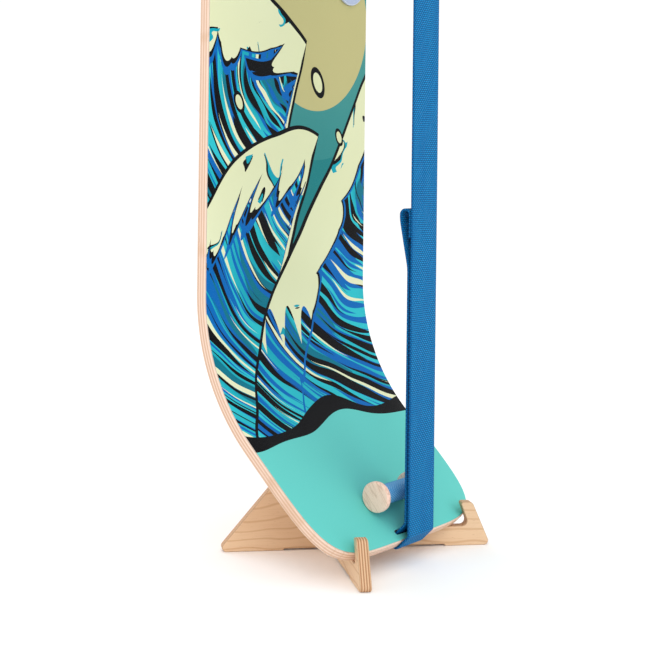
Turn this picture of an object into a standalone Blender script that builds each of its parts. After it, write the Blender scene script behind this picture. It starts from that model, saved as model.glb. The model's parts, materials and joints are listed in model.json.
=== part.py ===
"""Bow-shaped balance board with a webbing strap, a roller and a cross-halved display stand.

Frame: metres, +Z up, X across the board, the printed face towards -Y, and the
origin on the floor under the middle of the whole object.
The board stands on its nose in the stand and leans slightly towards its printed face.
"""

import math

import bmesh
import bpy
from mathutils import Matrix, Vector

MM = 0.001
CLEARANCE = 0.3 * MM            # gap between pieces that touch

# Deck: straight middle, two bent ends, measured on the printed face.
DECK_WIDTH = 320 * MM
DECK_CHORD = 975 * MM           # nose tip to tail tip, straight
END_LENGTH = 154.5 * MM         # flat stretch at each end
BEND_RADIUS = 225.5 * MM
BEND_ANGLE = math.radians(45.3)
DECK_THICKNESS = 13.5 * MM
SHEET_THICKNESS = 1.0 * MM      # printed top sheet
SHEET_INSET = 1.4 * MM          # its edge stays this far inside the laminate's
EDGE_RADIUS = 2.0 * MM
NOSE_LENGTH = 180 * MM          # length over which the outline rounds off
NOSE_POWER = 6.0                # superellipse power of the rounded ends
SLOT_INSET = 11 * MM            # slot centre to end edge
SLOT_WIDTH = 6 * MM
SLOT_LENGTH = 60 * MM
BEND_STEPS = 26                 # facets along each bend

# Strap: one ribbon, its ends folded back through the slots.
STRAP_WIDTH = 54 * MM
STRAP_THICKNESS = 2.4 * MM
STRAP_TURN = 2.5 * MM           # centreline radius where it dives into a slot
LAYER_PITCH = 4.0 * MM          # front run to returning layer, centre to centre
RUN_STANDOFF = 6.0 * MM         # slack that carries the front run clear of the nose
LOOP_START = 295 * MM           # above the nose tip, where the returning layer leaves the run
LOOP_DEPTH = 10.3 * MM          # how far the pull loop stands off
LOOP_SLOPE = math.radians(11)
LOOP_BLEND_RADIUS = 60 * MM
TAIL_LENGTH = 25 * MM           # sewn end inside the pull loop
FASTENER_WIDTH = 50 * MM        # hook-and-loop strip between the two layers
FASTENER_START = 70 * MM        # above the nose tip

# Roller between strap and deck.
ROLLER_REST = 50 * MM           # along the deck, from the nose tip
CAP_RADIUS = 17 * MM
CAP_THICKNESS = 7 * MM
CAP_CHAMFER = 1.2 * MM
CAP_BORE_DEPTH = 4 * MM
ROLLER_LENGTH = 78 * MM         # over both caps
ROLLER_OFFSET = -9 * MM         # its middle, left of the deck's
DOWEL_RADIUS = 8 * MM
GRIP_RADIUS = 11 * MM

# Round pads on the printed face.
PAD_RADIUS = 32 * MM
PAD_THICKNESS = 4 * MM
PAD_CHAMFER = 0.8 * MM
PAD_OFFSET = 118 * MM           # either side of the middle
PAD_HEIGHT = 647 * MM           # above the nose tip, along the strap

# Stand: two plates of one outline, crossed at right angles.
# p runs from the crossing towards the hook.
PLATE_THICKNESS = 13 * MM
PLATE_HEIGHT = 109 * MM
BACK_FOOT = -136.5 * MM
BACK_SHOULDER = -43 * MM
FRONT_SHOULDER = 17.5 * MM
SLOPE_FOOT = 66 * MM
LEDGE_HEIGHT = 22.8 * MM
HOOK_ROOT = 161.3 * MM
HOOK_LIP = 151 * MM
HOOK_CREST = 165.5 * MM
HOOK_HEIGHT = 50.5 * MM
FRONT_FOOT = 187 * MM
RECESS_BACK = -59.7 * MM
RECESS_FRONT = 133 * MM
RECESS_HEIGHT = 2 * MM
PLATE_EASE = 0.8 * MM           # eased plate edges
HALVING_FIT = 0.3 * MM          # play on each side of a halving slot
RELIEF_RADIUS = 2.4 * MM        # round reliefs in the halving slots' corners

# Where the nose tip stands, from the crossing of the plates.
NOSE_FORWARD = 111.2 * MM
NOSE_HEIGHT = 31.0 * MM
BOARD_LEAN = math.radians(0.75)

BEND_LENGTH = BEND_RADIUS * BEND_ANGLE
END_RISE = END_LENGTH * math.cos(BEND_ANGLE) + BEND_RADIUS * math.sin(BEND_ANGLE)
BOW_DEPTH = END_LENGTH * math.sin(BEND_ANGLE) + BEND_RADIUS * (1 - math.cos(BEND_ANGLE))
DECK_LENGTH = DECK_CHORD - 2 * END_RISE + 2 * (END_LENGTH + BEND_LENGTH)


def clear_scene():
    for old in list(bpy.data.objects):
        bpy.data.objects.remove(old, do_unlink=True)


def make_material(name, colour, roughness, metallic=0.0):
    material = bpy.data.materials.new(name)
    material.use_nodes = True
    shader = material.node_tree.nodes["Principled BSDF"]
    shader.inputs["Base Color"].default_value = (*colour, 1.0)
    shader.inputs["Roughness"].default_value = roughness
    shader.inputs["Metallic"].default_value = metallic
    material.diffuse_color = (*colour, 1.0)
    return material


def make_object(name, bm, material, parent=None, smooth=False):
    """Turn a bmesh into a named object with outward faces."""
    bmesh.ops.recalc_face_normals(bm, faces=bm.faces)
    mesh = bpy.data.meshes.new(name)
    bm.to_mesh(mesh)
    bm.free()
    if smooth:
        mesh.shade_smooth()
        mesh.set_sharp_from_angle(angle=math.radians(35))
    obj = bpy.data.objects.new(name, mesh)
    bpy.context.scene.collection.objects.link(obj)
    mesh.materials.append(material)
    obj.parent = parent
    return obj


def make_frame(name, location, tilt=0.0, parent=None):
    frame = bpy.data.objects.new(name, None)
    frame.location = location
    frame.rotation_euler = (tilt, 0, 0)
    frame.parent = parent
    bpy.context.scene.collection.objects.link(frame)
    return frame


def rounded_outline(corners):
    """Corner points (p, z, radius) to a polygon whose corners are arcs."""
    points = []
    count = len(corners)
    for index, (p, z, radius) in enumerate(corners):
        here = Vector((p, z))
        before = Vector(corners[index - 1][:2]) - here
        after = Vector(corners[(index + 1) % count][:2]) - here
        if radius == 0:
            points.append(here)
            continue
        before.normalize()
        after.normalize()
        half = before.angle(after) / 2
        reach = radius / math.tan(half)
        centre = here + (before + after).normalized() * (radius / math.sin(half))
        start = here + before * reach - centre
        sweep = start.angle_signed(here + after * reach - centre)
        steps = max(2, round(abs(sweep) / math.radians(18)))
        for step in range(steps + 1):
            turned = start.copy()
            turned.rotate(Matrix.Rotation(-sweep * step / steps, 2))
            points.append(centre + turned)
    return points


def prism(points, depth):
    """Extrude an outline in the XZ plane to a plate centred on Y = 0."""
    bm = bmesh.new()
    verts = [bm.verts.new((p.x, -depth / 2, p.y)) for p in points]
    face = bm.faces.new(verts)
    extruded = bmesh.ops.extrude_face_region(bm, geom=[face])
    moved = [item for item in extruded["geom"] if isinstance(item, bmesh.types.BMVert)]
    bmesh.ops.translate(bm, verts=moved, vec=(0, depth, 0))
    return bm


def ease_edges(bm, width, segments=1, sharper_than=math.radians(60)):
    """Bevel the edges between the broad faces and the rim."""
    bm.normal_update()
    rim = [edge for edge in bm.edges if edge.calc_face_angle(0) > sharper_than]
    rim = [edge for edge in rim if abs(edge.verts[0].co.y - edge.verts[1].co.y) < width / 10]
    bmesh.ops.bevel(bm, geom=rim, offset=width, segments=segments, affect="EDGES", profile=0.5)


def relief_arc(x, z, first_degrees, last_degrees):
    """Points of a round relief, three quarters of a circle about a slot corner."""
    points = []
    steps = 9
    for step in range(steps + 1):
        angle = math.radians(first_degrees + (last_degrees - first_degrees) * step / steps)
        points.append((x + RELIEF_RADIUS * math.cos(angle), z + RELIEF_RADIUS * math.sin(angle), 0))
    return points


def plate_outline(slot_from_top):
    """Side view of a stand plate, counter-clockwise from the back foot."""
    half = PLATE_THICKNESS / 2 + HALVING_FIT
    middle = PLATE_HEIGHT / 2
    if slot_from_top:
        slot_end = middle - HALVING_FIT / 2
        top_slot = [(half, PLATE_HEIGHT, 0)]
        top_slot += relief_arc(half, slot_end, 90, -180)
        top_slot += relief_arc(-half, slot_end, 0, -270)
        top_slot += [(-half, PLATE_HEIGHT, 0)]
        bottom_slot = []
    else:
        slot_end = middle + HALVING_FIT / 2
        bottom_slot = [(-half, RECESS_HEIGHT, 0)]
        bottom_slot += relief_arc(-half, slot_end, 270, 0)
        bottom_slot += relief_arc(half, slot_end, 180, -90)
        bottom_slot += [(half, RECESS_HEIGHT, 0)]
        top_slot = []
    corners = [
        (BACK_FOOT, 0, 5 * MM),
        (RECESS_BACK, 0, 0),
        (RECESS_BACK + RECESS_HEIGHT, RECESS_HEIGHT, 0),
        *bottom_slot,
        (RECESS_FRONT - RECESS_HEIGHT, RECESS_HEIGHT, 0),
        (RECESS_FRONT, 0, 0),
        (FRONT_FOOT, 0, 5 * MM),
        (HOOK_CREST, HOOK_HEIGHT, 6.5 * MM),
        (HOOK_LIP, HOOK_HEIGHT, 2.5 * MM),
        (HOOK_ROOT, LEDGE_HEIGHT, 6 * MM),
        (SLOPE_FOOT, LEDGE_HEIGHT, 10 * MM),
        (FRONT_SHOULDER, PLATE_HEIGHT, 6 * MM),
        *top_slot,
        (BACK_SHOULDER, PLATE_HEIGHT, 6 * MM),
    ]
    return rounded_outline(corners)


def stand_plate(name, slot_from_top, heading, crossing, material):
    bm = prism(plate_outline(slot_from_top), PLATE_THICKNESS)
    ease_edges(bm, PLATE_EASE)
    plate = make_object(name, bm, material)
    plate.location = crossing
    plate.rotation_euler = (0, 0, heading)
    return plate


def deck_profile(along):
    """Printed face at a length from the nose tip: forward, up and the face's tilt."""
    if along > DECK_LENGTH / 2:
        forward, up, tilt = deck_profile(DECK_LENGTH - along)
        return forward, DECK_CHORD - up, -tilt
    if along <= END_LENGTH:
        return -along * math.sin(BEND_ANGLE), along * math.cos(BEND_ANGLE), BEND_ANGLE
    tilt = max(0.0, BEND_ANGLE - (along - END_LENGTH) / BEND_RADIUS)
    forward = -END_LENGTH * math.sin(BEND_ANGLE) - BEND_RADIUS * (math.cos(tilt) - math.cos(BEND_ANGLE))
    up = END_LENGTH * math.cos(BEND_ANGLE) + BEND_RADIUS * (math.sin(BEND_ANGLE) - math.sin(tilt))
    return forward, up + max(0.0, along - END_LENGTH - BEND_LENGTH), tilt


def deck_point(across, along, depth):
    """A point at a depth behind the printed face, in the board's frame."""
    forward, up, tilt = deck_profile(along)
    return Vector((across, -(forward - depth * math.cos(tilt)), up - depth * math.sin(tilt)))


def deck_outline(inset):
    """Flat outline as (across, along) points, round both ends."""
    quarter = []
    steps = 14
    for step in range(steps + 1):
        angle = math.radians(90) * step / steps
        across = (DECK_WIDTH / 2 - inset) * math.sin(angle) ** (2 / NOSE_POWER)
        along = NOSE_LENGTH - (NOSE_LENGTH - inset) * max(0.0, math.cos(angle)) ** (2 / NOSE_POWER)
        quarter.append((across, along))
    right = quarter + [(across, DECK_LENGTH - along) for across, along in reversed(quarter)]
    left = [(-across, along) for across, along in reversed(right[1:-1])]
    return right + left


def cut_slots(plate, depth):
    """Cut both strap slots through a flat deck layer and return the result as a bmesh."""
    straight = SLOT_LENGTH / 2 - SLOT_WIDTH / 2
    outline = [Vector((side * straight + SLOT_WIDTH / 2 * math.sin(turn), SLOT_WIDTH / 2 * math.cos(turn)))
               for side in (1, -1)
               for turn in [math.radians(90 - 90 * side + 30 * step) for step in range(7)]]
    cutters = []
    for along in (SLOT_INSET, DECK_LENGTH - SLOT_INSET):
        bm = prism(outline, 4 * depth)
        cutter = make_object("slot_cutter", bm, plate.data.materials[0])
        cutter.location = (0, 0, along)
        cutter.hide_render = True
        cutter.display_type = "WIRE"
        boolean = plate.modifiers.new("slot", "BOOLEAN")
        boolean.operation = "DIFFERENCE"
        boolean.object = cutter
        cutters.append(cutter)
    bpy.context.view_layer.update()
    evaluated = plate.evaluated_get(bpy.context.evaluated_depsgraph_get())
    cut = bmesh.new()
    cut.from_mesh(evaluated.to_mesh())
    evaluated.to_mesh_clear()
    for spent in (*cutters, plate):
        bpy.data.objects.remove(spent, do_unlink=True)
    return cut


def bend_planes():
    """Lengths along the deck where the flat layer gets a row of edges."""
    rows = []
    for step in range(BEND_STEPS + 1):
        along = END_LENGTH + BEND_LENGTH * step / BEND_STEPS
        rows += [along, DECK_LENGTH - along]
    return rows


def deck_layer(name, front_depth, back_depth, inset, edge_radius, material, parent):
    """One bent layer of the deck between two depths behind the printed face."""
    points = [Vector((across, along)) for across, along in deck_outline(inset)]
    bm = prism(points, back_depth - front_depth)
    ease_edges(bm, edge_radius, segments=2)
    flat = make_object(name + "_flat", bm, material)
    bent = cut_slots(flat, back_depth)
    for along in bend_planes():
        whole = bent.verts[:] + bent.edges[:] + bent.faces[:]
        bmesh.ops.bisect_plane(bent, geom=whole, dist=1e-6, plane_co=(0, 0, along), plane_no=(0, 0, 1))
    middle = (front_depth + back_depth) / 2
    for vert in bent.verts:
        vert.co = deck_point(vert.co.x, vert.co.z, middle + vert.co.y)
    bmesh.ops.triangulate(bent, faces=bent.faces)
    bmesh.ops.dissolve_degenerate(bent, dist=1e-6, edges=bent.edges)
    return make_object(name, bent, material, parent)


def walk(start, heading, moves):
    """Follow straights and turns from a point; headings and turns in radians.

    A move is ("straight", length) or ("turn", angle, radius); left turns are positive.
    """
    here = Vector(start)
    points = [here.copy()]
    for move in moves:
        if move[0] == "straight":
            here = here + Vector((math.cos(heading), math.sin(heading))) * move[1]
            points.append(here.copy())
            continue
        angle, radius = move[1:]
        side = math.copysign(1, angle)
        centre = here + side * radius * Vector((-math.sin(heading), math.cos(heading)))
        steps = max(2, round(abs(angle) / math.radians(15)))
        for _ in range(steps):
            heading += angle / steps
            here = centre + side * radius * Vector((math.sin(heading), -math.cos(heading)))
            points.append(here.copy())
    return points


def strap_run_forward():
    """How far in front of the nose tip the centre of the strap's front run lies."""
    corner_forward = -EDGE_RADIUS * (math.sin(BEND_ANGLE) + math.cos(BEND_ANGLE))
    return corner_forward + EDGE_RADIUS + CLEARANCE + STRAP_THICKNESS / 2 + RUN_STANDOFF


def strap_half():
    """Centreline (forward, up) from mid-span round the nose to the sewn end."""
    offset = CLEARANCE + STRAP_THICKNESS / 2
    corner = EDGE_RADIUS + offset
    right_angle = math.radians(90)
    standoff_straight = RUN_STANDOFF / math.cos(BEND_ANGLE)
    corner_up = EDGE_RADIUS * (math.cos(BEND_ANGLE) - math.sin(BEND_ANGLE))
    corner_up += standoff_straight * math.sin(BEND_ANGLE)
    run_forward = strap_run_forward()
    returning_forward = run_forward - LAYER_PITCH
    emerge_forward = -SLOT_INSET * math.sin(BEND_ANGLE)
    lift = right_angle - BEND_ANGLE
    lift_radius = 8 * MM
    lift_straight = (returning_forward - emerge_forward - lift_radius * (1 - math.cos(lift)))
    lift_straight /= math.cos(BEND_ANGLE)
    back_straight = SLOT_INSET - STRAP_TURN - EDGE_RADIUS
    through_slot = DECK_THICKNESS + offset - STRAP_TURN + lift_straight
    emerge_up = SLOT_INSET * math.cos(BEND_ANGLE) + lift_straight * math.sin(BEND_ANGLE)
    emerge_up += lift_radius * math.sin(lift)
    slope_straight = (LOOP_DEPTH - 2 * LOOP_BLEND_RADIUS * (1 - math.cos(LOOP_SLOPE)))
    slope_straight /= math.sin(LOOP_SLOPE)
    tail_forward = run_forward - STRAP_THICKNESS - CLEARANCE
    fold_radius = (tail_forward - (returning_forward - LOOP_DEPTH)) / 2
    return walk((run_forward, DECK_CHORD / 2), -right_angle, [
        ("straight", DECK_CHORD / 2 - corner_up),
        ("turn", -lift, corner),
        ("straight", standoff_straight + DECK_THICKNESS - 2 * EDGE_RADIUS),
        ("turn", -right_angle, corner),
        ("straight", back_straight),
        ("turn", -right_angle, STRAP_TURN),
        ("straight", through_slot),
        ("turn", lift, lift_radius),
        ("straight", LOOP_START - emerge_up),
        ("turn", LOOP_SLOPE, LOOP_BLEND_RADIUS),
        ("straight", slope_straight),
        ("turn", -LOOP_SLOPE, LOOP_BLEND_RADIUS),
        ("turn", -math.pi, fold_radius),
        ("straight", TAIL_LENGTH),
    ])


def strap_centreline():
    half = strap_half()
    mirrored = [Vector((point.x, DECK_CHORD - point.y)) for point in reversed(half)]
    return mirrored[:-1] + half


def ribbon(points, width, thickness):
    """A closed band of constant section along a centreline in the YZ plane."""
    bm = bmesh.new()
    rings = []
    for index, point in enumerate(points):
        before = (point - points[index - 1]).normalized() if index else None
        after = (points[index + 1] - point).normalized() if index + 1 < len(points) else None
        before = before or after
        after = after or before
        along = (before + after).normalized()
        reach = thickness / 2 / math.cos(before.angle(after) / 2)
        side = Vector((-along.y, along.x)) * reach
        corners = [(-width / 2, side), (width / 2, side), (width / 2, -side), (-width / 2, -side)]
        rings.append([bm.verts.new((x, -(point + off).x, (point + off).y)) for x, off in corners])
    for first, second in zip(rings, rings[1:]):
        for corner in range(4):
            following = (corner + 1) % 4
            bm.faces.new((first[corner], first[following], second[following], second[corner]))
    bm.faces.new(rings[0])
    bm.faces.new(rings[-1])
    return bm


def strap(material, parent):
    bm = ribbon(strap_centreline(), STRAP_WIDTH, STRAP_THICKNESS)
    return make_object("strap", bm, material, parent)


def strap_fastener(name, low, high, material, parent):
    """Hook-and-loop strip that joins the returning layer to the front run."""
    forward = strap_run_forward() - LAYER_PITCH / 2
    thickness = LAYER_PITCH - STRAP_THICKNESS - 2 * CLEARANCE
    bm = ribbon([Vector((forward, low)), Vector((forward, high))], FASTENER_WIDTH, thickness)
    return make_object(name, bm, material, parent)


def turned(profile, segments=40):
    """Spin a closed profile of (along axis, radius) points about the X axis."""
    bm = bmesh.new()
    verts = [bm.verts.new((along, 0, radius)) for along, radius in profile]
    closed = list(zip(verts, verts[1:] + verts[:1]))
    edges = [bm.edges.new(pair) for pair in closed if any(vert.co.z > 0 for vert in pair)]
    bmesh.ops.spin(bm, geom=verts + edges, cent=(0, 0, 0), axis=(1, 0, 0),
                   angle=2 * math.pi, steps=segments, use_merge=True)
    bmesh.ops.remove_doubles(bm, verts=bm.verts, dist=1e-6)
    return bm


def roller_cap(name, side, material, parent):
    """Wooden end disc with a blind bore for the dowel; side is +1 or -1."""
    outer = ROLLER_LENGTH / 2
    inner = outer - CAP_THICKNESS
    bore_end = inner + CAP_BORE_DEPTH
    bore = DOWEL_RADIUS + CLEARANCE
    profile = [
        (bore_end, 0), (bore_end, bore), (inner, bore), (inner, CAP_RADIUS - CAP_CHAMFER),
        (inner + CAP_CHAMFER, CAP_RADIUS), (outer - CAP_CHAMFER, CAP_RADIUS),
        (outer, CAP_RADIUS - CAP_CHAMFER), (outer, 0),
    ]
    bm = turned([(side * along, radius) for along, radius in profile])
    return make_object(name, bm, material, parent, smooth=True)


def roller_dowel(material, parent):
    reach = ROLLER_LENGTH / 2 - CAP_THICKNESS + CAP_BORE_DEPTH - CLEARANCE
    bm = turned([(-reach, 0), (-reach, DOWEL_RADIUS), (reach, DOWEL_RADIUS), (reach, 0)], 32)
    return make_object("roller_dowel", bm, material, parent, smooth=True)


def roller_grip(material, parent):
    """Sleeve that turns on the dowel."""
    reach = ROLLER_LENGTH / 2 - CAP_THICKNESS - CLEARANCE
    bore = DOWEL_RADIUS + CLEARANCE
    bm = turned([(-reach, bore), (-reach, GRIP_RADIUS), (reach, GRIP_RADIUS), (reach, bore)])
    return make_object("roller_grip", bm, material, parent, smooth=True)


def round_pad(name, side, material, parent):
    """Low round pad glued to the printed face."""
    profile = [
        (0, 0), (0, PAD_RADIUS), (PAD_THICKNESS - PAD_CHAMFER, PAD_RADIUS),
        (PAD_THICKNESS, PAD_RADIUS - PAD_CHAMFER), (PAD_THICKNESS, 0),
    ]
    bm = turned(profile)
    bmesh.ops.rotate(bm, verts=bm.verts, cent=(0, 0, 0), matrix=Matrix.Rotation(math.radians(-90), 3, "Z"))
    pad = make_object(name, bm, material, parent, smooth=True)
    pad.location = (side * PAD_OFFSET, BOW_DEPTH - CLEARANCE, PAD_HEIGHT)
    return pad


def build():
    clear_scene()
    laminate = make_material("deck_laminate", (0.62, 0.42, 0.26), 0.5)
    printed = make_material("printed_sheet", (0.03, 0.36, 0.42), 0.35)
    webbing = make_material("blue_webbing", (0.0, 0.13, 0.45), 0.8)
    hook_loop = make_material("hook_and_loop", (0.02, 0.03, 0.08), 0.95)
    birch = make_material("roller_birch", (0.72, 0.55, 0.38), 0.6)
    rubber = make_material("blue_rubber", (0.02, 0.25, 0.55), 0.7)
    plywood = make_material("stand_plywood", (0.72, 0.52, 0.33), 0.55)
    pad_grey = make_material("pad_grey", (0.38, 0.45, 0.6), 0.4)

    outline = plate_outline(slot_from_top=True)
    front = max(point.x for point in outline)
    back = min(point.x for point in outline)
    crossing_y = (front + back) / 2 / math.sqrt(2)
    crossing = Vector((0, crossing_y, 0))
    quarter = math.radians(45)
    stand_plate("stand_plate_lower", True, -quarter, crossing, plywood)
    stand_plate("stand_plate_upper", False, -3 * quarter, crossing, plywood)

    nose = crossing + Vector((0, -NOSE_FORWARD, NOSE_HEIGHT))
    board = make_frame("board_frame", nose, BOARD_LEAN)
    core_front = SHEET_THICKNESS + CLEARANCE
    deck_layer("deck_core", core_front, DECK_THICKNESS, 0, EDGE_RADIUS, laminate, board)
    deck_layer("deck_top_sheet", 0, SHEET_THICKNESS, SHEET_INSET, SHEET_THICKNESS / 4, printed, board)
    strap(webbing, board)
    strap_fastener("strap_fastener_nose", FASTENER_START, LOOP_START, hook_loop, board)
    strap_fastener("strap_fastener_tail", DECK_CHORD - LOOP_START, DECK_CHORD - FASTENER_START, hook_loop, board)
    for side, name in ((-1, "pad_left"), (1, "pad_right")):
        round_pad(name, side, pad_grey, board)

    axis_point = deck_point(ROLLER_OFFSET, ROLLER_REST, -(CAP_RADIUS + CLEARANCE))
    axle = make_frame("roller_axis", axis_point, parent=board)
    roller_dowel(birch, axle)
    roller_grip(rubber, axle)
    for side, name in ((-1, "roller_cap_left"), (1, "roller_cap_right")):
        roller_cap(name, side, birch, axle)
    bpy.context.view_layer.update()


build()
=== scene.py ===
import json
import math

import bmesh
import bpy
from mathutils import Matrix, Vector


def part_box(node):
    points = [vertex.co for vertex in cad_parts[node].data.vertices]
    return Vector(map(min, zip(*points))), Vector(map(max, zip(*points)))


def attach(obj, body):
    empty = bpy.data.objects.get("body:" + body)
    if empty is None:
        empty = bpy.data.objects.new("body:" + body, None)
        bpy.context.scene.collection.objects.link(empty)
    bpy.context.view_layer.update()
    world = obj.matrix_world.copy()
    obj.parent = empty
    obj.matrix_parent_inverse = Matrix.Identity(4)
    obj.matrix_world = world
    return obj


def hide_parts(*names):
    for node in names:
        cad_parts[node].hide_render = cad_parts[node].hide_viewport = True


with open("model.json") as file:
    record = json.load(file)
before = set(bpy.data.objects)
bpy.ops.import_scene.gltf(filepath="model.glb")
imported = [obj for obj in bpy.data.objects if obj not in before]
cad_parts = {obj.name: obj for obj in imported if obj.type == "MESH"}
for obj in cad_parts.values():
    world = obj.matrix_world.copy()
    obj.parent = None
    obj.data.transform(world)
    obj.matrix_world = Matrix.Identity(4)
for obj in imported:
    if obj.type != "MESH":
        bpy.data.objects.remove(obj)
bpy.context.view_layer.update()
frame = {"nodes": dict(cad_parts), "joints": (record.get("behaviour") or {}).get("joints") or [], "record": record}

MM = 0.001

# Deck, measured on the printed face from the nose tip, as the CAD model has it.
DECK_WIDTH = 320 * MM
DECK_CHORD = 975 * MM
END_LENGTH = 154.5 * MM
BEND_RADIUS = 225.5 * MM
BEND_ANGLE = math.radians(45.3)
DECK_THICKNESS = 13.5 * MM
SHEET_THICKNESS = 1.0 * MM
SHEET_INSET = 1.4 * MM
EDGE_RADIUS = 2.0 * MM
NOSE_LENGTH = 180 * MM
NOSE_POWER = 6.0
SLOT_INSET = 11 * MM
SLOT_WIDTH = 6 * MM
SLOT_LENGTH = 60 * MM
GAP = 0.3 * MM
PLIES = 7

# Strap route, as the CAD model has it.
STRAP_WIDTH = 54 * MM
STRAP_THICKNESS = 2.4 * MM
STRAP_TURN = 2.5 * MM
LAYER_PITCH = 4.0 * MM
RUN_STANDOFF = 6.0 * MM
LOOP_START = 295 * MM
LOOP_DEPTH = 10.3 * MM
LOOP_SLOPE = math.radians(11)
LOOP_BLEND_RADIUS = 60 * MM
TAIL_LENGTH = 25 * MM
PICK = 2.3 * MM                 # length of one row of the weave
FLOAT_WIDTH = 4.2 * MM          # width of one raised float of the weave

# Roller and pads.
CAP_ROUND = 1.6 * MM
CAP_FLAT = 0.4                  # share of a cap's radius at its inner ring of points
GRIP_CHAMFER = 0.8 * MM
GRIP_MARGIN = 2.5 * MM          # plain rubber at each end of the dimples
DIMPLE_ROWS = 28
DIMPLES_AROUND = 26
DIMPLE_DEPTH = 0.35 * MM
DIMPLE_REACH = 0.42             # a dimple's radius as a share of the dimples' pitch
DIMPLE_STEPS = 5                # mesh steps to one dimple, along and around
PAD_THICKNESS = 4.0 * MM
PAD_ROUND = 1.3 * MM
PAD_CROWN = 0.5 * MM
PAD_FLAT = 0.86                 # share of a pad's radius inside its rounded rim
PAD_LIP = 0.1 * MM              # how far the rounded rim starts inside the pad's radius
GASKET = 0.7 * MM               # thickness of the gasket under a pad, coloured dark as a painted contact shadow
GASKET_INSET = 0.5 * MM

STAND_PLIES = 9

# How finely the meshes are divided.
ROW_STEP = 5 * MM
FACE_COLUMNS = 12
NOSE_STEP = math.radians(2.5)
RIM_STEPS = 4
SLOT_TURN_STEP = 15
WEBBING_COLUMNS = 10
SELVEDGE_STEPS = 6
TURN_STEP = math.radians(9)
TURN_SEGMENTS = 96
ARC_STEPS = 5
CROWN_STEPS = 6

# The camera, solved from the outlines of the object in the photograph.
CAMERA_LENS = 78.73
CAMERA_SHIFT = (0.1424, -0.2813)
CAMERA_PLACE = (-1.40147, -0.93554, 0.43478)
CAMERA_FORWARD = (0.78654, 0.61719, 0.02075)
CAMERA_RIGHT = (0.61728, -0.78674, 0.00274)

# Studio light: name, place, size in metres and power in watts.
WORLD_STRENGTH = 1.04
LAMPS = (
    ("key", (-2.4, -2.0, 2.3), 1.8, 26),
    ("fill", (1.2, -2.6, 1.2), 2.4, 6),
    ("rim", (1.5, 2.4, 2.2), 2.0, 10),
)
LAMP_AIM = (0, 0, 0.45)
FLOOR_REACH = 30

BEND_LENGTH = BEND_RADIUS * BEND_ANGLE
END_RISE = END_LENGTH * math.cos(BEND_ANGLE) + BEND_RADIUS * math.sin(BEND_ANGLE)
BOW_DEPTH = END_LENGTH * math.sin(BEND_ANGLE) + BEND_RADIUS * (1 - math.cos(BEND_ANGLE))
DECK_LENGTH = DECK_CHORD - 2 * END_RISE + 2 * (END_LENGTH + BEND_LENGTH)
RIGHT_ANGLE = math.radians(90)

JOINTS = {joint["name"]: joint for joint in frame["joints"]}
MOUNTS = {mount["name"]: mount for mount in frame["record"]["mounts"]}


def board_matrix():
    """The board's own frame: origin at the nose tip, Z up along it, Y towards its back."""
    up = Vector(JOINTS["roller_travel"]["axis"]).normalized()
    side = Vector((1, 0, 0))
    back = up.cross(side)
    rest = Vector(MOUNTS["deck_back_rest"]["pos_m"])
    origin = rest - back * (BOW_DEPTH + DECK_THICKNESS) - up * (DECK_CHORD / 2)
    matrix = Matrix((side, back, up)).transposed().to_4x4()
    matrix.translation = origin
    return matrix


BOARD = board_matrix()


# ---------------------------------------------------------------- shader helpers

def srgb(red, green, blue):
    """An 8-bit screen colour as the linear colour that shaders use."""
    linear = []
    for value in (red, green, blue):
        share = value / 255
        linear.append(share / 12.92 if share <= 0.04045 else ((share + 0.055) / 1.055) ** 2.4)
    return (*linear, 1.0)


class Field:
    """A number that varies over a surface; sums and products of fields build Math nodes."""

    def __init__(self, tree, socket):
        self.tree = tree
        self.socket = socket

    def math(self, operation, *others):
        node = self.tree.nodes.new("ShaderNodeMath")
        node.operation = operation
        for slot, value in zip(node.inputs, (self, *others)):
            feed(self.tree, slot, value)
        return Field(self.tree, node.outputs[0])

    def __add__(self, other):
        return self.math("ADD", other)

    def __radd__(self, other):
        return self.math("ADD", other)

    def __sub__(self, other):
        return self.math("SUBTRACT", other)

    def __rsub__(self, other):
        return (self * -1) + other

    def __mul__(self, other):
        return self.math("MULTIPLY", other)

    def __truediv__(self, other):
        return self.math("DIVIDE", other)

    def above(self, other):
        return self.math("GREATER_THAN", other)

    def below(self, other):
        return self.math("LESS_THAN", other)

    def sin(self):
        return self.math("SINE")

    def abs(self):
        return self.math("ABSOLUTE")

    def fract(self):
        return self.math("FRACT")

    def floor(self):
        return self.math("FLOOR")

    def power(self, exponent):
        return self.math("POWER", exponent)

    def lower(self, other):
        return self.math("MINIMUM", other)

    def higher(self, other):
        return self.math("MAXIMUM", other)

    def ramp(self, low, high):
        """0 at low, 1 at high, eased between; low may be the larger of the two."""
        node = self.tree.nodes.new("ShaderNodeMapRange")
        node.interpolation_type = "SMOOTHSTEP"
        feed(self.tree, node.inputs["Value"], self)
        feed(self.tree, node.inputs["From Min"], low)
        feed(self.tree, node.inputs["From Max"], high)
        return Field(self.tree, node.outputs["Result"])


def feed(tree, slot, value):
    """Link a field to an input, or set the input to a plain number."""
    if isinstance(value, Field):
        tree.links.new(value.socket, slot)
    else:
        slot.default_value = value


def new_material(name):
    """A material with a Principled shader: (material, tree, shader)."""
    material = bpy.data.materials.new(name)
    material.use_nodes = True
    tree = material.node_tree
    return material, tree, tree.nodes["Principled BSDF"]


def split(tree, socket):
    node = tree.nodes.new("ShaderNodeSeparateXYZ")
    tree.links.new(socket, node.inputs[0])
    return [Field(tree, output) for output in node.outputs]


def place_fields(tree):
    """The piece's own coordinates across, along and through it, in metres."""
    node = tree.nodes.new("ShaderNodeAttribute")
    node.attribute_name = "place"
    return split(tree, node.outputs["Vector"])


def object_fields(tree):
    node = tree.nodes.new("ShaderNodeTexCoord")
    return split(tree, node.outputs["Object"])


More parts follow.
